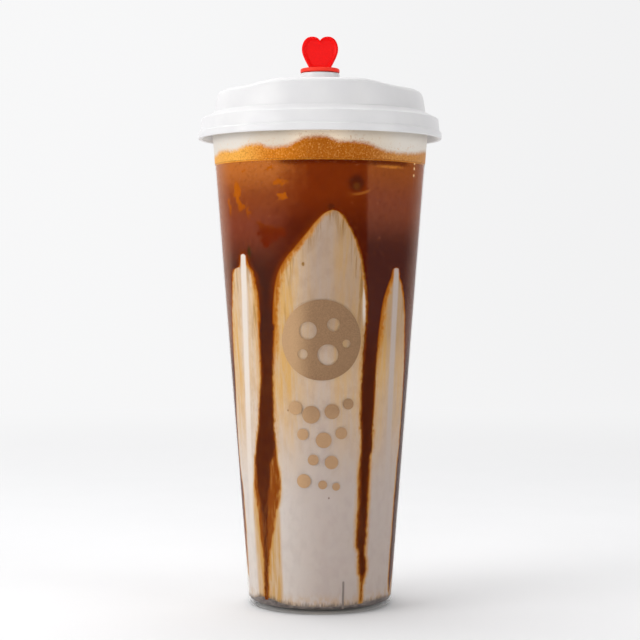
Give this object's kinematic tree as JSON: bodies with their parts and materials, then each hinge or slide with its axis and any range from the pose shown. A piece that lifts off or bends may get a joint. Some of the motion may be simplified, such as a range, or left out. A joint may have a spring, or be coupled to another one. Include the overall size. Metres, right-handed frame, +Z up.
{
  "type": "bubble tea",
  "caption": "Tall tapered frosted cup of layered milk tea with syrup runs down the wall, froth on top, a stepped lid and a heart-shaped plug.",
  "frame": {"origin": "centre of the cup's base, on the surface it stands on", "axes": "+Z up along the cup's axis; -Y towards the drinking side, where the spout and the plug are; +X to the right seen from there"},
  "size_m": [0.097, 0.097, 0.2228],
  "materials": {
    "frosted_plastic": "frosted translucent",
    "white_plastic": "satin white",
    "red_plastic": "glossy red",
    "milk": "wet, opaque, milky",
    "tea": "wet, dark brown",
    "foam": "fine golden froth",
    "syrup": "wet, nearly black"
  },
  "bodies": {
    "root": {"cup": "frosted_plastic", "lid": "white_plastic", "plug": "red_plastic", "milk": "milk", "tea": "tea", "foam": "foam", "syrup": "syrup"}
  },
  "joints": []
}
